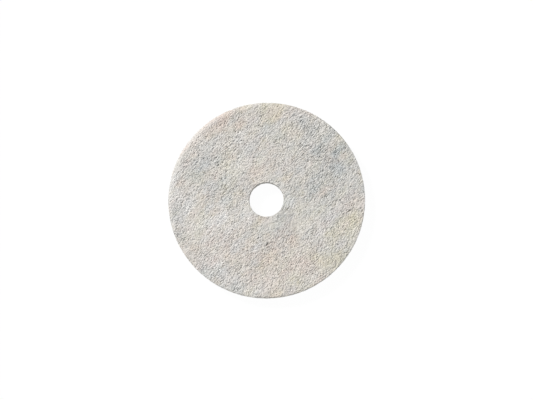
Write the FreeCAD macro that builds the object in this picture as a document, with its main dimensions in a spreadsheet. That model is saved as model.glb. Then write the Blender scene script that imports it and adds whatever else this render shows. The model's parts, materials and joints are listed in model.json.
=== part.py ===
import FreeCAD, Part
import os
import Sketcher

# A nonwoven fibre polishing pad: a flat disc cut from a stack of bonded web plies, with one centre
# hole for the collar of a rotary machine's pad holder. Both faces are working faces.
#
# Lengths are in millimetres. The pad lies flat, +Z is the axis that it spins about, and the origin
# is where that axis meets the plane of the lower face.

LENGTH_TOLERANCE = 1e-6
VOLUME_TOLERANCE = 1e-6

# The driving dimensions, by alias.
DIMENSIONS = {
    "pad_diameter": 508.0,
    "pad_thickness": 25.4,
    "hole_diameter": 88.9,
    "ply_count": 8,
    "rim_round": 2.5,
}


def make_sheet(doc):
    """The spreadsheet that every sub-part reads its sizes from."""
    sheet = doc.addObject("Spreadsheet::Sheet", "Dims")
    for row, (alias, value) in enumerate(DIMENSIONS.items(), start=1):
        sheet.set(f"A{row}", alias)
        sheet.set(f"B{row}", str(value))
        sheet.setAlias(f"B{row}", alias)
    return sheet


def origin_plane(body, role):
    """One of the body's own origin planes, found by its role."""
    return next(f for f in body.Origin.OriginFeatures if f.Role == role)


def draw_ring(body):
    """The ply's outline, two concentric circles on the body's XY plane: the rim and the hole."""
    sketch = body.newObject("Sketcher::SketchObject", body.Name + "_outline")
    sketch.AttachmentSupport = [(origin_plane(body, "XY_Plane"), "")]
    sketch.MapMode = "FlatFace"
    centre = FreeCAD.Vector(0, 0, 0)
    for name in ("pad_diameter", "hole_diameter"):
        circle = Part.Circle(centre, FreeCAD.Vector(0, 0, 1), DIMENSIONS[name] / 2)
        index = sketch.addGeometry(circle, False)
        sketch.addConstraint(Sketcher.Constraint("Coincident", index, 3, -1, 1))
        size = sketch.addConstraint(Sketcher.Constraint("Diameter", index, DIMENSIONS[name]))
        sketch.renameConstraint(size, name)
        sketch.setExpression(f"Constraints.{name}", f"Dims.{name}")
    return sketch


def rim_edge_name(shape, radius, height):
    """The name of the circular edge of this radius at this height in the body."""
    for number, edge in enumerate(shape.Edges, start=1):
        curve = edge.Curve
        if (
            isinstance(curve, Part.Circle)
            and abs(curve.Radius - radius) < LENGTH_TOLERANCE
            and abs(curve.Center.z - height) < LENGTH_TOLERANCE
        ):
            return f"Edge{number}"
    raise RuntimeError(f"no edge of radius {radius} at height {height}")


def round_rim(body, pad, height):
    """Eases a face ply's outer edge, which the cutting die and handling leave slightly round."""
    fillet = body.newObject("PartDesign::Fillet", body.Name + "_rim")
    edge = rim_edge_name(pad.Shape, DIMENSIONS["pad_diameter"] / 2, height)
    fillet.Base = (pad, [edge])
    fillet.setExpression("Radius", "Dims.rim_round")


def make_ply(doc, label, place):
    """One web ply, a flat ring. `place` counts the plies up from the lower face, from 0."""
    body = doc.addObject("PartDesign::Body", label)
    body.Label = label
    body.setExpression("Placement.Base.z", f"Dims.pad_thickness / Dims.ply_count * {place}")
    sketch = draw_ring(body)
    pad = body.newObject("PartDesign::Pad", label + "_web")
    pad.Profile = sketch
    pad.setExpression("Length", "Dims.pad_thickness / Dims.ply_count")
    sketch.Visibility = False
    doc.recompute()
    if place == 0:
        round_rim(body, pad, 0)
    if place == DIMENSIONS["ply_count"] - 1:
        round_rim(body, pad, pad.Length.Value)
    return body


def ply_labels():
    """The plies' names from the lower face to the upper one."""
    core = [f"core_ply_{number}" for number in range(1, DIMENSIONS["ply_count"] - 1)]
    return ["lower_face_ply", *core, "upper_face_ply"]


def check(doc, plies):
    """Stops if a feature failed, a ply isn't a valid solid or the stack isn't the pad's height."""
    for thing in doc.Objects:
        if {"Invalid", "Error"} & set(thing.State):
            raise RuntimeError(f"{thing.Label} failed: {thing.State}")
    for ply in plies:
        if ply.Shape.isNull() or not ply.Shape.isValid() or len(ply.Shape.Solids) != 1:
            raise RuntimeError(f"{ply.Label} isn't one valid solid")
    for below, above in zip(plies, plies[1:]):
        gap = above.Shape.BoundBox.ZMin - below.Shape.BoundBox.ZMax
        if abs(gap) > LENGTH_TOLERANCE:
            raise RuntimeError(f"{below.Label} and {above.Label} don't meet")
    height = plies[-1].Shape.BoundBox.ZMax - plies[0].Shape.BoundBox.ZMin
    if abs(height - DIMENSIONS["pad_thickness"]) > LENGTH_TOLERANCE:
        raise RuntimeError(f"the stack is {height} mm high")
    ring = Part.makeCylinder(DIMENSIONS["pad_diameter"] / 2, DIMENSIONS["pad_thickness"])
    ring = ring.cut(Part.makeCylinder(DIMENSIONS["hole_diameter"] / 2, DIMENSIONS["pad_thickness"]))
    stack = sum(ply.Shape.Volume for ply in plies[1:-1])
    core_share = (len(plies) - 2) / len(plies)
    if abs(stack / (ring.Volume * core_share) - 1) > VOLUME_TOLERANCE:
        raise RuntimeError("the core plies don't have the ring's volume")
    for face in (plies[0], plies[-1]):
        if not 0.99 * ring.Volume / len(plies) < face.Shape.Volume < ring.Volume / len(plies):
            raise RuntimeError(f"{face.Label}: its rim isn't rounded as it should be")


def main():
    doc = FreeCAD.newDocument("polishing_pad")
    make_sheet(doc)
    doc.recompute()
    plies = [make_ply(doc, label, place) for place, label in enumerate(ply_labels())]
    doc.recompute()
    check(doc, plies)
    os.makedirs("parts", exist_ok=True)
    for ply in plies:
        ply.Shape.exportStep(f"parts/{ply.Label}.step")


main()
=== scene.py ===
import json
import math

import bpy
import numpy as np
from mathutils import Matrix, Vector


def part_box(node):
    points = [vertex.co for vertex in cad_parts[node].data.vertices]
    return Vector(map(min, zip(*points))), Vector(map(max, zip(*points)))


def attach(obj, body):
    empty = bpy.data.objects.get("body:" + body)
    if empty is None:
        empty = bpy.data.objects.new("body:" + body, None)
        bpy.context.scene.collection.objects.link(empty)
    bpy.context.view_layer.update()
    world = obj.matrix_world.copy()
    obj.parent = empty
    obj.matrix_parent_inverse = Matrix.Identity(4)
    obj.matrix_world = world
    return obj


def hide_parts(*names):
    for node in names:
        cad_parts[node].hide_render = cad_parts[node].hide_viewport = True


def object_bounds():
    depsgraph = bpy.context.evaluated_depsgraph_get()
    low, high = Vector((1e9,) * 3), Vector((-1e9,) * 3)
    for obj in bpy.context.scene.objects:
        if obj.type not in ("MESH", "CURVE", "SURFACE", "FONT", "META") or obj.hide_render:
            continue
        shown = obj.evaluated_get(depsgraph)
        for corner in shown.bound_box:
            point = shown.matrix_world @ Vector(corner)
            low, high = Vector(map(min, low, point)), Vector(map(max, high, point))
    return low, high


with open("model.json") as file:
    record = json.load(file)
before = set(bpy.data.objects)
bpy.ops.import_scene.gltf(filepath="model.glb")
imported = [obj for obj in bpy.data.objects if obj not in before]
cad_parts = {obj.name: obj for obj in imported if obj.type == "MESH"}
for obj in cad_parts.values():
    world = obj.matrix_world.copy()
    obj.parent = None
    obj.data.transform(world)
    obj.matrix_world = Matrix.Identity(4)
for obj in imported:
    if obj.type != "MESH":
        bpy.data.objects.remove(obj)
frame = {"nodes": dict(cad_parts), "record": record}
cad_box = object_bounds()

# A nonwoven fibre polishing pad, in metres, lying on the floor with its axis of spin along +Z.
# Each web ply is a closed skin with the relief of matted tufts, and loose fibres lie on the faces, the
# cut rim and the wall of the centre hole.

MM = 0.001
TAU = 2 * math.pi
SEED = 537

# Sizes from the frame.
TOP = cad_box[1].z
RIM_R = max(cad_box[1].x, cad_box[1].y)
MOUNTS = {mount["name"]: mount for mount in frame["record"]["mounts"]}
HOLE_R = MOUNTS["centre_hole"]["dims"]["r_mm"] * MM
PLIES = sorted(frame["nodes"], key=lambda node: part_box(node)[0].z)

# The web: the fibres of both faces run mostly one way, as the web came off the card.
GRAIN = math.radians(50)
FACE_RELIEF = 3.4 * MM
EDGE_RELIEF = 1.3 * MM
RIM_ROUND = 1.5 * MM
HOLE_ROUND = 0.9 * MM

# Mesh spacing of the skins: on the faces, on the cut walls, and on the hidden faces between plies.
FACE_STEP = 0.9 * MM
WALL_STEP = 1.2 * MM
WALL_ROW = 0.8 * MM
HIDDEN_STEP = 9 * MM
CORNER_ROWS = 5


def random(purpose):
    """A random generator of its own for each purpose, so that an edit to one leaves the rest alone."""
    return np.random.default_rng([SEED, *purpose.encode()])


# ---------------------------------------------------------------- fields over the pad


def smooth_noise(purpose):
    """A smooth random field from -1 to 1, with features one unit across, that repeats every 64."""
    size = 64
    lattice = random(purpose).uniform(-1, 1, (size, size))

    def field(x, y):
        column, row = np.floor(x).astype(int), np.floor(y).astype(int)
        along, across = x - column, y - row
        along, across = (t * t * (3 - 2 * t) for t in (along, across))
        near = lattice[row % size, column % size] * (1 - along)
        near = near + lattice[row % size, (column + 1) % size] * along
        far = lattice[(row + 1) % size, column % size] * (1 - along)
        far = far + lattice[(row + 1) % size, (column + 1) % size] * along
        return near * (1 - across) + far * across

    return field


def soft_area(x, y, direction, distance, size):
    """From 0 to 1, how near points are to an area's middle, which lies in a direction from the axis in
    degrees. The distance and the size are shares of the pad's radius."""
    middle_x = distance * RIM_R * math.cos(math.radians(direction))
    middle_y = distance * RIM_R * math.sin(math.radians(direction))
    off = np.hypot(x - middle_x, y - middle_y) / (size * RIM_R)
    return np.exp(-(off**2))


def grain_frame(x, y):
    """The same points measured along the grain and across it."""
    return x * math.cos(GRAIN) + y * math.sin(GRAIN), y * math.cos(GRAIN) - x * math.sin(GRAIN)


# Where the web is lofty and deeply pitted, above 1, or dense and calm, below 1: the area's direction,
# distance and size, and what it adds.
OPEN_AREAS = (
    (45, 0.76, 0.34, 0.26),
    (15, 0.80, 0.25, 0.15),
    (150, 0.68, 0.20, 0.15),
    (285, 0.45, 0.18, 0.15),
    (0, 0.0, 0.33, -0.20),
    (200, 0.75, 0.20, -0.10),
)
OPEN_PATCH = 30 * MM
OPEN_STRETCH = 1.8
OPEN_VARIES = 0.15
open_field = smooth_noise("openness")


def openness(x, y):
    along, across = grain_frame(x, y)
    patchy = 1 + OPEN_VARIES * open_field(along / OPEN_PATCH / OPEN_STRETCH, across / OPEN_PATCH)
    return patchy + sum(more * soft_area(x, y, *area) for *area, more in OPEN_AREAS)


def headings(rng, count, steps, mean, spread, curl):
    """The direction of travel at each step of curved fibres: each has its own bend and a slow wobble."""
    start = mean + rng.normal(0, spread, (count, 1))
    bend = rng.normal(0, curl, (count, 1)) * np.arange(steps)
    wobble = np.cumsum(rng.normal(0, curl / 2, (count, steps)), axis=1)
    return start + bend + wobble


def walk(start, angle, step):
    """The points of paths that leave `start` and follow the headings `angle`, one step at a time."""
    moves = np.stack([np.cos(angle), np.sin(angle)], axis=-1) * step
    return start[:, None, :] + np.cumsum(moves, axis=1)


class Relief:
    """A height field, from 0 in the pores to 1 on the highest tufts, made of curved tufts heaped at
    random on a rectangle. Its first axis wraps round when the rectangle is a cut wall rolled up."""

    PITCH = 0.5 * MM
    ARCH = 0.5
    CURL = 0.02
    LEVEL_RANGE = (0.25, 1.0)
    HALF_RANGE = (0.35, 0.65)
    TIP = 0.15
    LEVELS = 1 << 16
    NUMBERS = 1 << 20

    def __init__(self, purpose, width, height, cover, tuft, heading, spread, wraps):
        self.width, self.height, self.wraps = width, height, wraps
        self.columns = round(width / self.PITCH)
        self.rows = round(height / self.PITCH) + 1
        breadth, length = tuft
        count = round(cover * width * height / (breadth * length))
        rng = random(purpose)
        steps = round(length / self.PITCH)
        start = rng.uniform((0, 0), (width, height), (count, 2))
        angle = headings(rng, count, steps, heading, spread, self.CURL)
        path = walk(start, angle, self.PITCH) / self.PITCH
        level = rng.uniform(*self.LEVEL_RANGE, (count, 1))
        taper = np.sin(np.linspace(self.TIP, math.pi - self.TIP, steps)) ** 0.5
        half = rng.uniform(*self.HALF_RANGE, (count, 1)) * breadth / self.PITCH * taper
        self.heap(path, level, half)
        self.tuft_shade = rng.uniform(0, 1, count)

    def heap(self, path, level, half):
        """Raises the grid to the top of each tuft, whose section is an arch, and notes which tuft is on
        top. Both are kept in one whole number while the tufts compete for a cell."""
        top = np.zeros((self.rows, self.columns), dtype=np.int64)
        number = np.broadcast_to(np.arange(len(path))[:, None], path.shape[:2])
        reach = int(np.ceil(half.max()))
        cell = np.floor(path).astype(int)
        for down in range(-reach, reach + 1):
            for over in range(-reach, reach + 1):
                column, row = cell[..., 0] + over, cell[..., 1] + down
                gap = np.hypot(column + 0.5 - path[..., 0], row + 0.5 - path[..., 1]) / half
                height = level - self.ARCH * gap**2
                inside = (gap < 1) & (height > 0) & (row >= 0) & (row < self.rows)
                if self.wraps:
                    column = column % self.columns
                inside &= (column >= 0) & (column < self.columns)
                mark = (height[inside] * self.LEVELS).astype(np.int64) * self.NUMBERS
                mark += number[inside]
                np.maximum.at(top, (row[inside], column[inside]), mark)
        self.grid = top // self.NUMBERS / self.LEVELS
        self.owner = top % self.NUMBERS

    def cells(self, x, y):
        """The place of points of the rectangle in the grid, in cells from the middle of the first."""
        column, row = x / self.PITCH - 0.5, y / self.PITCH - 0.5
        row = np.clip(row, 0, self.rows - 1.001)
        if not self.wraps:
            column = np.clip(column, 0, self.columns - 1.001)
        return column, row

    def at(self, x, y):
        """The height at points of the rectangle, between the four nearest cells."""
        column, row = self.cells(x, y)
        left, below = np.floor(column).astype(int), np.floor(row).astype(int)
        along, across = column - left, row - below
        right = (left + 1) % self.columns
        left = left % self.columns
        near = self.grid[below, left] * (1 - along) + self.grid[below, right] * along
        far = self.grid[below + 1, left] * (1 - along) + self.grid[below + 1, right] * along
        return near * (1 - across) + far * across

    def shade_at(self, x, y):
        """From 0 to 1, how pale the tuft on top is at points of the rectangle."""
        column, row = self.cells(x, y)
        column, row = np.round(column).astype(int) % self.columns, np.round(row).astype(int)
        return self.tuft_shade[self.owner[row, column]]


# The tufts' breadth and length, how many lie over each other, and how far they stray from their heading.
FACE_SPAN = 2 * RIM_R
TUFT = (1.9 * MM, 8 * MM)
TUFT_COVER = 5.0
TUFT_SPREAD = math.radians(24)
EDGE_TUFT = (1.7 * MM, 9 * MM)
EDGE_COVER = 3.0
EDGE_SPREAD = math.radians(16)
face_relief = Relief("face", FACE_SPAN, FACE_SPAN, TUFT_COVER, TUFT, GRAIN, TUFT_SPREAD, wraps=False)
rim_relief = Relief("rim", TAU * RIM_R, TOP, EDGE_COVER, EDGE_TUFT, 0, EDGE_SPREAD, wraps=True)
hole_relief = Relief("hole", TAU * HOLE_R, TOP, EDGE_COVER, EDGE_TUFT, 0, EDGE_SPREAD, wraps=True)
FACE_MEAN = face_relief.grid.mean()


def face_height(x, y):
    return face_relief.at(x + RIM_R, y + RIM_R)


def face_shade(x, y):
    return face_relief.shade_at(x + RIM_R, y + RIM_R)


def rim_height(angle, z):
    return rim_relief.at((angle % TAU) * RIM_R, z)


def hole_height(angle, z):
    return hole_relief.at((angle % TAU) * HOLE_R, z)


# ---------------------------------------------------------------- the fibre blend

# Each kind of fibre: its share of the blend, its radius, and its colour.
BLEND = {
    "white": (0.21, 0.16 * MM, (0.81, 0.80, 0.79)),
    "ivory": (0.20, 0.16 * MM, (0.79, 0.75, 0.68)),
    "grey": (0.20, 0.15 * MM, (0.60, 0.61, 0.62)),
    "straw": (0.11, 0.17 * MM, (0.73, 0.68, 0.48)),
    "blush": (0.14, 0.16 * MM, (0.78, 0.63, 0.56)),
    "slate": (0.10, 0.14 * MM, (0.46, 0.52, 0.55)),
    "tan": (0.04, 0.15 * MM, (0.52, 0.38, 0.26)),
}
KINDS = list(BLEND)
SHARES = np.array([BLEND[kind][0] for kind in KINDS])
COLOURS = np.array([BLEND[kind][2] for kind in KINDS])

# The kinds lie in soft random patches of three sizes, drawn out along the grain, and in a few broad
# areas: the kind that is plentiful there, and the area's direction, distance and size.
PATCH_SIZES = (8 * MM, 20 * MM, 60 * MM)
PATCHINESS = (0.45, 1.0, 0.5)
PATCH_STRETCH = 1.8
KIND_AREAS = (
    ("slate", 48, 0.85, 0.30),
    ("slate", 22, 0.66, 0.30),
    ("slate", 0, 0.45, 0.22),
    ("slate", 165, 0.45, 0.25),
    ("slate", 150, 0.75, 0.12),
    ("slate", 232, 0.97, 0.18),
    ("straw", 90, 0.87, 0.22),
    ("tan", 98, 0.88, 0.12),
    ("blush", 122, 0.98, 0.22),
    ("blush", 150, 1.0, 0.18),
    ("white", 180, 0.90, 0.25),
    ("white", 212, 0.55, 0.25),
    ("straw", 205, 0.76, 0.12),
    ("blush", 262, 0.62, 0.25),
    ("blush", 303, 0.68, 0.20),
    ("ivory", 270, 0.95, 0.20),
    ("straw", 347, 0.90, 0.18),
    ("straw", 318, 0.90, 0.22),
)
KIND_PULL = 1.1
patch_fields = [[smooth_noise(f"patch {kind} {size}") for size in PATCH_SIZES] for kind in KINDS]


def kind_pull(kind, x, y):
    """How plentiful one kind of fibre is at points of the pad, as the logarithm of a factor."""
    along, across = grain_frame(x, y)
    pull = np.zeros_like(x)
    for field, size, strength in zip(patch_fields[KINDS.index(kind)], PATCH_SIZES, PATCHINESS):
        pull += strength * field(along / (size * PATCH_STRETCH), across / size)
    for name, *area in KIND_AREAS:
        if name == kind:
            pull += KIND_PULL * soft_area(x, y, *area)
    return pull


# Painted shade: how much darker the web's colour is made where it lies deep, in the pores of the faces
# and in the hollows and ply seams of the cut walls; and how much its tufts differ in tone. Each ply is
# cut from another stretch of web, so along the cut walls its colours are shifted against its neighbours'.
PORE_PAINTED_SHADE = 0.12
TUFT_SHADE = 0.08
CUT_WALL_PAINTED_SHADE = 0.42
LAYER_SHIFT = 37 * MM


def blend_at(x, y):
    """The share of each kind of fibre at points of the pad."""
    pull = [kind_pull(kind, x, y) for kind in KINDS]
    weight = SHARES * np.exp(np.stack(pull, axis=-1))
    return weight / weight.sum(axis=-1, keepdims=True)


# ---------------------------------------------------------------- skins of the web plies


def zip_rings(near, near_start, far, far_start):
    """Triangles between two rings of `near` and `far` points, whose numbers start where given."""
    step = np.arange(near)
    tip = -((near - (2 * step + 1) * far) // (2 * near)) % far
    inner = np.stack([near_start + step, near_start + (step + 1) % near, far_start + tip], axis=1)
    step = np.arange(far)
    tip = ((2 * step + 1) * near + far) // (2 * far) % near
    outer = np.stack([far_start + (step + 1) % far, far_start + step, near_start + tip], axis=1)
    return np.concatenate([inner, outer])


def ring_count(radius, step):
    return round(TAU * radius / step)


def corner_stations(wall_radius, rounding, z, side, outward):
    """The profile over a rounded corner, from a cut wall to a face."""
    stations = []
    for turn in np.linspace(0, math.pi / 2, CORNER_ROWS)[1:]:
        radius = wall_radius - outward * rounding * (1 - math.cos(turn))
        height = z - side * rounding * (1 - math.sin(turn))
        stations.append((radius, height, outward * math.cos(turn), "corner"))
    return stations


def face_stations(z, side):
    """The profile across a working face, from the hole's wall to the rim's, with both corners rounded.
    `side` is 1 for the upper face and -1 for the lower. Each station is (radius, height, outward share of
    the normal, kind)."""
    radii = np.arange(HOLE_R + HOLE_ROUND + FACE_STEP, RIM_R - RIM_ROUND - FACE_STEP / 2, FACE_STEP)
    hole_corner = corner_stations(HOLE_R, HOLE_ROUND, z, side, -1)
    rim_corner = corner_stations(RIM_R, RIM_ROUND, z, side, 1)
    flat = [(radius, z, 0.0, "face") for radius in radii]
    return [*hole_corner, *flat, *rim_corner[::-1]]


def hidden_stations(z):
    """The profile across the hidden plane between two plies, from the hole to the rim."""
    radii = np.linspace(HOLE_R, RIM_R, round((RIM_R - HOLE_R) / HIDDEN_STEP))[1:-1]
    return [(radius, z, 0.0, "hidden") for radius in radii]


def wall_stations(radius, start, end, outward):
    """Rows up or down a cut wall, both ends included."""
    rows = max(2, round(abs(end - start) / WALL_ROW) + 1)
    return [(radius, z, outward, "wall") for z in np.linspace(start, end, rows)]


def ply_stations(low, high):
    """A ply's whole section: up the hole's wall, out over the top, down the rim and back underneath."""
    is_top, is_bottom = high > TOP - MM, low < MM
    over = face_stations(high, 1) if is_top else hidden_stations(high)
    under = face_stations(low, -1) if is_bottom else hidden_stations(low)
    hole_span = low + HOLE_ROUND * is_bottom, high - HOLE_ROUND * is_top
    rim_span = high - RIM_ROUND * is_top, low + RIM_ROUND * is_bottom
    hole_wall = wall_stations(HOLE_R, *hole_span, -1.0)
    rim_wall = wall_stations(RIM_R, *rim_span, 1.0)
    return [*hole_wall, *over, *rim_wall, *under[::-1]]


seam_depth = smooth_noise("seam depth")
SEAM = 0.7 * MM
SEAM_HALF = 0.6 * MM
SEAM_FEATURES = 64
SEAM_APART = 5.3


def seam(angle, z):
    """How far a cut wall is drawn in at the planes between plies, more in some places than others."""
    thickness = TOP / len(PLIES)
    plane = np.round(z / thickness)
    gap = (z - plane * thickness) / SEAM_HALF
    strength = 0.5 + 0.5 * seam_depth(angle / TAU * SEAM_FEATURES, plane * SEAM_APART)
    inner = (plane > 0.5) & (plane < len(PLIES) - 0.5)
    return SEAM * strength * np.exp(-(gap**2)) * inner


# The border of each face falls a little to the rim, and further along the stretch pressed in handling,
# where the relief is calmed too.
CROWN = 13 * MM
CROWN_DROP = 0.5 * MM
PRESSED_DROP = 2.6 * MM
PRESSED_CALM = 0.85
PRESSED_SIDE = math.radians(140)
PRESSED_SPREAD = math.radians(50)


def pressed(angle):
    """From 0 to 1: the stretch of rim that has been pressed down in handling."""
    off = (angle - PRESSED_SIDE + math.pi) % TAU - math.pi
    return np.exp(-((off / PRESSED_SPREAD) ** 2))


def nearness(radius):
    """From 0 to 1, how near the rim, over the crowned border of a face."""
    return np.clip((radius - (RIM_R - CROWN)) / CROWN, 0, 1)


def rim_ease(radius, angle):
    """How far a face falls towards the rim."""
    return (CROWN_DROP + PRESSED_DROP * pressed(angle)) * nearness(radius) ** 2


def settle(radius, angle, z):
    """The height of a point of the stack once its border is crowned. The lower face is the upper one
    turned over about the X axis, and the plies between them share the squeeze."""
    up, down = rim_ease(radius, angle), rim_ease(radius, -angle)
    return down + z / TOP * (TOP - up - down)


def face_depth(x, y):
    """How far the web of the upper face lies under its highest tufts."""
    radius, angle = np.hypot(x, y), np.arctan2(y, x)
    calm = 1 - PRESSED_CALM * pressed(angle) * nearness(radius)
    height = FACE_MEAN + (face_height(x, y) - FACE_MEAN) * calm
    return FACE_RELIEF * openness(x, y) * (1 - height)


def wall_depth(radius, angle, z):
    """How far a cut wall lies inside its nominal cylinder."""
    outer = radius > (RIM_R + HOLE_R) / 2
    height = np.where(outer, rim_height(angle, z), hole_height(angle, z))
    return EDGE_RELIEF * (1 - height) + seam(angle, z)


def make_mesh(name, points, triangles):
    """A smooth-shaded mesh from arrays of points and triangles."""
    mesh = bpy.data.meshes.new(name)
    mesh.vertices.add(len(points))
    mesh.vertices.foreach_set("co", points.astype(np.float32).ravel())
    mesh.loops.add(triangles.size)
    mesh.loops.foreach_set("vertex_index", triangles.astype(np.int32).ravel())
    mesh.polygons.add(len(triangles))
    mesh.polygons.foreach_set("loop_start", np.arange(0, triangles.size, 3, dtype=np.int32))
    mesh.update(calc_edges=True)
    mesh.shade_smooth()
    return mesh


def add_piece(name, mesh, material):
    piece = bpy.data.objects.new(name, mesh)
    bpy.context.scene.collection.objects.link(piece)
    if not mesh.materials:
        mesh.materials.append(material)
    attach(piece, "root")
    return piece


JITTER = 0.3


def skin_ring(rng, number, station):
    """One ring of a ply's skin: its points, and the tint of the web at each, with painted shade where the
    web lies deep.
    """
    radius, z, outward, kind = station
    count = ring_count(radius, {"face": FACE_STEP, "hidden": HIDDEN_STEP}.get(kind, WALL_STEP))
    angle = np.arange(count) / count * TAU
    radius = np.full(count, radius)
    if kind == "face":
        angle += (0.5 * (number % 2) + rng.uniform(-JITTER, JITTER, count)) * TAU / count
        radius += rng.uniform(-JITTER, JITTER, count) * FACE_STEP
    side = 1.0 if z > TOP / 2 else -1.0
    upward = side * math.sqrt(max(0.0, 1 - outward**2))
    x, y = radius * np.cos(angle), radius * np.sin(angle)
    depth, shade = np.zeros(count), np.ones(count)
    if kind != "hidden":
        on_face, on_wall = upward**2, outward**2
        sunk, cut = face_depth(x, side * y), wall_depth(radius, angle, z)
        depth = sunk * on_face + cut * on_wall
        # Painted shade: the colour darkens where the face web lies deep in its pores, and where a cut
        # wall lies deep in its hollows and at the seams between plies.
        pores = PORE_PAINTED_SHADE * on_face * np.minimum(sunk / FACE_RELIEF, 1)
        shade = 1 - pores - CUT_WALL_PAINTED_SHADE * on_wall * np.minimum(cut / EDGE_RELIEF, 1)
    if kind == "face":
        shade *= 1 + TUFT_SHADE * (face_shade(x, side * y) - 0.5)
    layer = 0 if kind != "wall" else math.floor(z / TOP * len(PLIES) * 0.999)
    tint = blend_at(x + layer * LAYER_SHIFT, side * y) @ COLOURS * shade[:, None]
    reach = radius - outward * depth
    z = settle(radius, angle, z) - upward * depth
    return np.stack([reach * np.cos(angle), reach * np.sin(angle), z], axis=1), tint


def ply_skin(node, material):
    """A ply's closed skin, with the relief of the web on what shows, and flat where plies meet."""
    rng = random("skin " + node)
    stations = ply_stations(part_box(node)[0].z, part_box(node)[1].z)
    points, tints = zip(*(skin_ring(rng, number, station) for number, station in enumerate(stations)))
    counts = [len(ring) for ring in points]
    rings = list(zip(counts, np.cumsum([0] + counts[:-1])))
    triangles = np.concatenate(
        [zip_rings(*near, *far) for near, far in zip(rings, rings[1:] + rings[:1])]
    )
    mesh = make_mesh(node + "_web", np.concatenate(points), triangles)
    tint = np.concatenate(tints)
    tint = np.concatenate([tint, np.ones((len(tint), 1))], axis=1)
    layer = mesh.color_attributes.new("tint", "FLOAT_COLOR", "POINT")
    layer.data.foreach_set("color", tint.astype(np.float32).ravel())
    piece = add_piece(node + "_web", mesh, material)
    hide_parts(node)
    return piece


# ---------------------------------------------------------------- loose fibres

SIDES = 3
JOINTS = 9
BLUNT = 0.5
GIRTH_RANGE = (0.6, 1.5)


def cut_short(path, keep):
    """Each path resampled to JOINTS points over its first `keep` steps."""
    spot = np.linspace(0, 1, JOINTS)[None, :] * keep[:, None]
    before = np.floor(spot).astype(int)[..., None]
    after = np.minimum(before + 1, path.shape[1] - 1)
    share = (spot - before[..., 0])[..., None]
    start = np.take_along_axis(path, before, axis=1)
    return start * (1 - share) + np.take_along_axis(path, after, axis=1) * share


def tubes(points, radius, up):
    """Closed tubes round fibres. `points` and `up` are arrays of fibre, joint, axis."""
    along = np.gradient(points, axis=1)
    along /= np.linalg.norm(along, axis=2, keepdims=True)
    aside = np.cross(along, up)
    aside /= np.linalg.norm(aside, axis=2, keepdims=True)
    over = np.cross(aside, along)
    taper = np.sin(np.linspace(BLUNT, math.pi - BLUNT, JOINTS)) ** 0.5
    girth = radius[:, None, None] * taper[None, :, None]
    corners = [
        points + girth * (math.cos(turn) * aside + math.sin(turn) * over)
        for turn in math.pi / 2 + np.arange(SIDES) * TAU / SIDES
    ]
    count = len(points)
    corners = np.stack(corners, axis=2).reshape(-1, 3)
    index = np.arange(count * JOINTS * SIDES).reshape(count, JOINTS, SIDES)
    here, there = index[:, :-1, :], index[:, 1:, :]
    here_next, there_next = np.roll(here, -1, axis=2), np.roll(there, -1, axis=2)
    walls = np.stack([here, here_next, there, here_next, there_next, there], axis=-1)
    ends = np.concatenate([index[:, 0, ::-1], index[:, -1, :]])
    return corners, np.concatenate([walls.reshape(-1, 3), ends.reshape(-1, 3)])


def weave(rng, count, turns, lift, swing):
    """How far each joint of fibres stands off the web: its own lift, and a wave of its own length."""
    length = np.linspace(0, 1, JOINTS) * rng.uniform(*turns, (count, 1))
    wave = np.sin(length + rng.uniform(0, TAU, (count, 1)))
    return rng.uniform(*lift, (count, 1)) + swing * wave


def pick_kinds(rng, x, y):
    """The kind of each fibre, by the blend where it starts."""
    ladder = np.cumsum(blend_at(x, y), axis=1)
    return (rng.random(len(x))[:, None] > ladder).sum(axis=1).clip(0, len(KINDS) - 1)


FACE_FIBRES = 4000
FACE_FIBRE_STEPS = 26
FACE_FIBRE_STEP = 0.5 * MM
FACE_FIBRE_SPREAD = math.radians(34)
FACE_FIBRE_CURL = 0.10
FACE_FIBRE_KEEP = 10
FACE_FIBRE_TURNS = (4, 12)
FACE_FIBRE_LIFT = (-0.1 * MM, 0.2 * MM)
FACE_FIBRE_SWING = 0.1 * MM
RIM_CLEAR = 0.6 * MM
HOLE_CLEAR = 0.4 * MM
TOP_CLEAR = 0.3 * MM
SHORTEST = 3


def face_fibres():
    """Fibres that lie on the upper face, weaving in and out of the web, cut off where the die cut it."""
    rng = random("face fibres")
    radius = np.sqrt(rng.uniform(HOLE_R**2, RIM_R**2, FACE_FIBRES))
    angle = rng.uniform(0, TAU, FACE_FIBRES)
    start = np.stack([radius * np.cos(angle), radius * np.sin(angle)], axis=1)
    turn = headings(rng, FACE_FIBRES, FACE_FIBRE_STEPS, GRAIN, FACE_FIBRE_SPREAD, FACE_FIBRE_CURL)
    path = walk(start, turn, FACE_FIBRE_STEP)
    reach = np.hypot(path[..., 0], path[..., 1])
    out = (reach > RIM_R - RIM_CLEAR) | (reach < HOLE_R + HOLE_CLEAR)
    first_out = np.where(out.any(axis=1), out.argmax(axis=1), FACE_FIBRE_STEPS)
    keep = np.minimum(first_out - 1, rng.uniform(FACE_FIBRE_KEEP, FACE_FIBRE_STEPS - 1, FACE_FIBRES))
    whole = keep > SHORTEST
    flat = cut_short(path[whole], keep[whole])
    x, y = flat[..., 0], flat[..., 1]
    lift = weave(rng, len(flat), FACE_FIBRE_TURNS, FACE_FIBRE_LIFT, FACE_FIBRE_SWING)
    top = settle(np.hypot(x, y), np.arctan2(y, x), TOP)
    z = top - face_depth(x, y) + lift
    points = np.stack([x, y, np.minimum(z, TOP - TOP_CLEAR)], axis=2)
    up = np.broadcast_to([0.0, 0.0, 1.0], points.shape)
    return points, up, pick_kinds(rng, x[:, 0], y[:, 0]), rng


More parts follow.
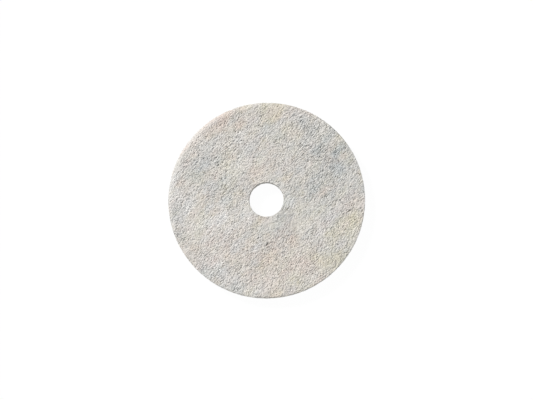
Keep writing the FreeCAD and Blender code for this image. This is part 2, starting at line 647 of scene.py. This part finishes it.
RIM_FIBRES = 3200
HOLE_FIBRES = 560
CUT_FIBRE_STEPS = 14
CUT_FIBRE_SPREAD = math.radians(20)
CUT_FIBRE_CURL = 0.07
CUT_FIBRE_KEEP = 4
CUT_FIBRE_TURNS = (3, 9)
CUT_FIBRE_LIFT = (-0.1 * MM, 0.3 * MM)
CUT_FIBRE_SWING = 0.35 * MM


def wall_fibres(purpose, wall_radius, rounding, outward, count):
    """Fibres that lie along a cut wall, mostly level as the webs do, and keep off its corners."""
    rng = random(purpose)
    start = rng.uniform((0, 0), (TAU * wall_radius, TOP), (count, 2))
    turn = headings(rng, count, CUT_FIBRE_STEPS, 0, CUT_FIBRE_SPREAD, CUT_FIBRE_CURL)
    path = walk(start, turn, MM)
    out = (path[..., 1] > TOP - rounding) | (path[..., 1] < rounding)
    first_out = np.where(out.any(axis=1), out.argmax(axis=1), CUT_FIBRE_STEPS)
    keep = np.minimum(first_out - 1, rng.uniform(CUT_FIBRE_KEEP, CUT_FIBRE_STEPS - 1, count))
    whole = keep > SHORTEST
    flat = cut_short(path[whole], keep[whole])
    angle, z = flat[..., 0] / wall_radius, flat[..., 1]
    lift = weave(rng, len(flat), CUT_FIBRE_TURNS, CUT_FIBRE_LIFT, CUT_FIBRE_SWING)
    radius = wall_radius - outward * (wall_depth(wall_radius, angle, z) - lift)
    z = settle(wall_radius, angle, z)
    points = np.stack([radius * np.cos(angle), radius * np.sin(angle), z], axis=2)
    up = np.stack([outward * np.cos(angle), outward * np.sin(angle), 0 * z], axis=2)
    return points, up, pick_kinds(rng, points[:, 0, 0], points[:, 0, 1]), rng


def fibre_pieces(prefix, groups, materials):
    """One piece for each kind of fibre, from groups of (points, up, kinds, rng)."""
    pieces = []
    for number, kind in enumerate(KINDS):
        corners, triangles, start = [], [], 0
        for points, up, kinds, rng in groups:
            chosen = kinds == number
            radius = BLEND[kind][1] * rng.uniform(*GIRTH_RANGE, chosen.sum())
            some, faces = tubes(points[chosen], radius, up[chosen])
            corners.append(some)
            triangles.append(faces + start)
            start += len(some)
        name = f"{prefix}_{kind}_fibres"
        mesh = make_mesh(name, np.concatenate(corners), np.concatenate(triangles))
        pieces.append(add_piece(name, mesh, materials[kind]))
    return pieces


def turned_over(piece, name):
    """A copy of an upper-face piece for the lower face: the pad is alike on both sides."""
    copy = bpy.data.objects.new(name, piece.data)
    bpy.context.scene.collection.objects.link(copy)
    middle = Matrix.Translation((0, 0, TOP / 2))
    copy.matrix_world = middle @ Matrix.Rotation(math.pi, 4, "X") @ middle.inverted()
    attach(copy, "root")
    return copy


# ---------------------------------------------------------------- materials


def new_material(name):
    """A material with its node tree, and its Principled shader."""
    material = bpy.data.materials.new(name)
    material.use_nodes = True
    tree = material.node_tree
    shader = next(node for node in tree.nodes if node.type == "BSDF_PRINCIPLED")
    return material, tree, shader


def add_node(tree, kind, links=(), **settings):
    """A node with its settings made and its inputs linked or given a value."""
    node = tree.nodes.new(kind)
    for name, value in settings.items():
        setattr(node, name, value)
    for socket, source in dict(links).items():
        if isinstance(source, bpy.types.NodeSocket):
            tree.links.new(source, node.inputs[socket])
        else:
            node.inputs[socket].default_value = source
    return node


def per_metre(*lengths):
    """How many of each length go into a metre."""
    return tuple(1 / length for length in lengths)


def web_material():
    """The matted web under the loose fibres: the blend's colour at each point with painted shade where
    the web lies deep, streaked along the grain on the faces and level on the cut walls."""
    material, tree, shader = new_material("fibre_web")
    where = add_node(tree, "ShaderNodeTexCoord").outputs["Object"]
    facing = add_node(tree, "ShaderNodeNewGeometry").outputs["Normal"]
    level = add_node(tree, "ShaderNodeSeparateXYZ", {0: facing}).outputs["Z"]
    on_face = add_node(tree, "ShaderNodeMath", {0: level, 1: 0.0}, operation="ABSOLUTE").outputs[0]
    along = add_node(
        tree,
        "ShaderNodeMapping",
        {"Vector": where, "Rotation": (0, 0, -GRAIN), "Scale": per_metre(6 * MM, 1.1 * MM, 2 * MM)},
    )
    flat = add_node(
        tree,
        "ShaderNodeMapping",
        {"Vector": where, "Scale": per_metre(5 * MM, 5 * MM, 0.8 * MM)},
    )
    noise = {"Scale": 1.0, "Detail": 3.0, "Roughness": 0.6, "Distortion": 0.8}
    streaks = [
        add_node(tree, "ShaderNodeTexNoise", {"Vector": mapping.outputs[0], **noise}).outputs["Fac"]
        for mapping in (flat, along)
    ]
    streak = add_node(tree, "ShaderNodeMix", {0: on_face, 2: streaks[0], 3: streaks[1]}).outputs[0]
    shades = {"From Min": 0.3, "From Max": 0.7, "To Min": 0.7, "To Max": 1.2}
    shade = add_node(tree, "ShaderNodeMapRange", {"Value": streak, **shades}).outputs[0]
    tint = add_node(tree, "ShaderNodeAttribute", attribute_name="tint").outputs["Color"]
    colour = add_node(tree, "ShaderNodeVectorMath", {0: tint, 1: shade}, operation="MULTIPLY").outputs[0]
    tree.links.new(colour, shader.inputs["Base Color"])
    rough = add_node(
        tree, "ShaderNodeMapRange", {"Value": streak, "To Min": 1.0, "To Max": 0.75}
    ).outputs[0]
    tree.links.new(rough, shader.inputs["Roughness"])
    bump = add_node(
        tree, "ShaderNodeBump", {"Height": streak, "Strength": 0.7, "Distance": 0.8 * MM}
    ).outputs[0]
    tree.links.new(bump, shader.inputs["Normal"])
    shader.inputs["Specular IOR Level"].default_value = 0.2
    return material


def fibre_materials():
    """A dull material for each kind of fibre, in its colour."""
    materials = {}
    for kind, (_, _, colour) in BLEND.items():
        material, _, shader = new_material(f"{kind}_fibre")
        shader.inputs["Base Color"].default_value = (*colour, 1)
        shader.inputs["Roughness"].default_value = 0.7
        shader.inputs["Specular IOR Level"].default_value = 0.3
        materials[kind] = material
    return materials


# ---------------------------------------------------------------- the pad

web = web_material()
hairs = fibre_materials()
for ply in PLIES:
    ply_skin(ply, web)
upper = fibre_pieces("upper_face", [face_fibres()], hairs)
for piece in upper:
    turned_over(piece, piece.name.replace("upper", "lower"))
cut_edges = [
    wall_fibres("rim fibres", RIM_R, RIM_ROUND, 1, RIM_FIBRES),
    wall_fibres("hole fibres", HOLE_R, HOLE_ROUND, -1, HOLE_FIBRES),
]
fibre_pieces("cut_edge", cut_edges, hairs)


# ---------------------------------------------------------------- floor, light and camera

FLOOR_HALF = 14.0
FLOOR_GAP = 0.2 * MM


def make_floor():
    """A plain white floor that glows softly, like a light table. The camera sees it near white, with only
    a trace of the pad's shadow."""
    corners = np.array([(-1, -1, 0), (1, -1, 0), (1, 1, 0), (-1, 1, 0)]) * FLOOR_HALF
    mesh = make_mesh("floor", corners, np.array([(0, 1, 2), (0, 2, 3)]))
    floor = bpy.data.objects.new("floor", mesh)
    floor.location.z = -FLOOR_GAP
    bpy.context.scene.collection.objects.link(floor)
    material, tree, shader = new_material("floor")
    tree.nodes.remove(shader)
    out = next(node for node in tree.nodes if node.type == "OUTPUT_MATERIAL")
    paper = add_node(tree, "ShaderNodeBsdfDiffuse", {"Color": (0.7, 0.7, 0.7, 1)}).outputs[0]
    lit = add_node(tree, "ShaderNodeEmission", {"Strength": 0.4}).outputs[0]
    table = add_node(tree, "ShaderNodeAddShader", {0: paper, 1: lit}).outputs[0]
    faint = add_node(tree, "ShaderNodeBsdfDiffuse", {"Color": (0.04, 0.04, 0.04, 1)}).outputs[0]
    glow = add_node(tree, "ShaderNodeEmission", {"Strength": 0.965}).outputs[0]
    shown = add_node(tree, "ShaderNodeAddShader", {0: faint, 1: glow}).outputs[0]
    seen = add_node(tree, "ShaderNodeLightPath").outputs["Is Camera Ray"]
    mixed = add_node(tree, "ShaderNodeMixShader", {0: seen, 1: table, 2: shown}).outputs[0]
    tree.links.new(mixed, out.inputs["Surface"])
    mesh.materials.append(material)


def make_world():
    """Even fill light, with plain white behind the pad."""
    world = bpy.data.worlds.new("studio")
    bpy.context.scene.world = world
    world.use_nodes = True
    tree = world.node_tree
    tree.nodes.clear()
    cool, white = (0.94, 0.97, 1.0, 1), (1, 1, 1, 1)
    fill = add_node(tree, "ShaderNodeBackground", {"Color": cool, "Strength": 0.6}).outputs[0]
    behind = add_node(tree, "ShaderNodeBackground", {"Color": white, "Strength": 1.0}).outputs[0]
    seen = add_node(tree, "ShaderNodeLightPath").outputs["Is Camera Ray"]
    mixed = add_node(tree, "ShaderNodeMixShader", {0: seen, 1: fill, 2: behind}).outputs[0]
    out = add_node(tree, "ShaderNodeOutputWorld")
    tree.links.new(mixed, out.inputs["Surface"])


KEY_DISTANCE = 3
KEY_AZIMUTH = math.radians(138)
KEY_ELEVATION = math.radians(31)


def direction_of(azimuth, elevation):
    """The unit vector that points in a direction round the pad and above its plane."""
    level = math.cos(elevation)
    return Vector((level * math.cos(azimuth), level * math.sin(azimuth), math.sin(elevation)))


def make_key():
    """A large soft light up and to the left of the pad."""
    lamp = bpy.data.lights.new("key", "SUN")
    lamp.energy = 3.3
    lamp.angle = math.radians(10)
    lamp.color = (1.0, 0.985, 0.965)
    key = bpy.data.objects.new("key", lamp)
    towards = direction_of(KEY_AZIMUTH, KEY_ELEVATION)
    key.rotation_euler = towards.to_track_quat("Z", "Y").to_euler()
    key.location = towards * KEY_DISTANCE
    bpy.context.scene.collection.objects.link(key)


# The camera's lens and sensor in millimetres, its lean from straight above and the direction it leans in,
# and the pad's diameter as a share of the picture's width.
LENS = 100.0
SENSOR = 36.0
TILT = math.radians(8.2)
TILT_TOWARDS = math.radians(-70.4)
PAD_SHARE = 0.36886


def make_camera():
    """Nearly straight above the pad, leaning a little towards its lower right, with +Y up the picture."""
    lens = bpy.data.cameras.new("camera")
    lens.lens, lens.sensor_width = LENS, SENSOR
    camera = bpy.data.objects.new("camera", lens)
    bpy.context.scene.collection.objects.link(camera)
    back = direction_of(TILT_TOWARDS, math.pi / 2 - TILT)
    right = Vector((0, 1, 0)).cross(back).normalized()
    rotation = Matrix((right, back.cross(right), back)).transposed().to_4x4()
    distance = 2 * RIM_R / PAD_SHARE * LENS / SENSOR
    aim = Vector((0, 0, TOP / 2))
    camera.matrix_world = Matrix.Translation(aim + back * distance) @ rotation
    bpy.context.scene.camera = camera


make_floor()
make_world()
make_key()
make_camera()
bpy.context.scene.view_settings.view_transform = "Standard"
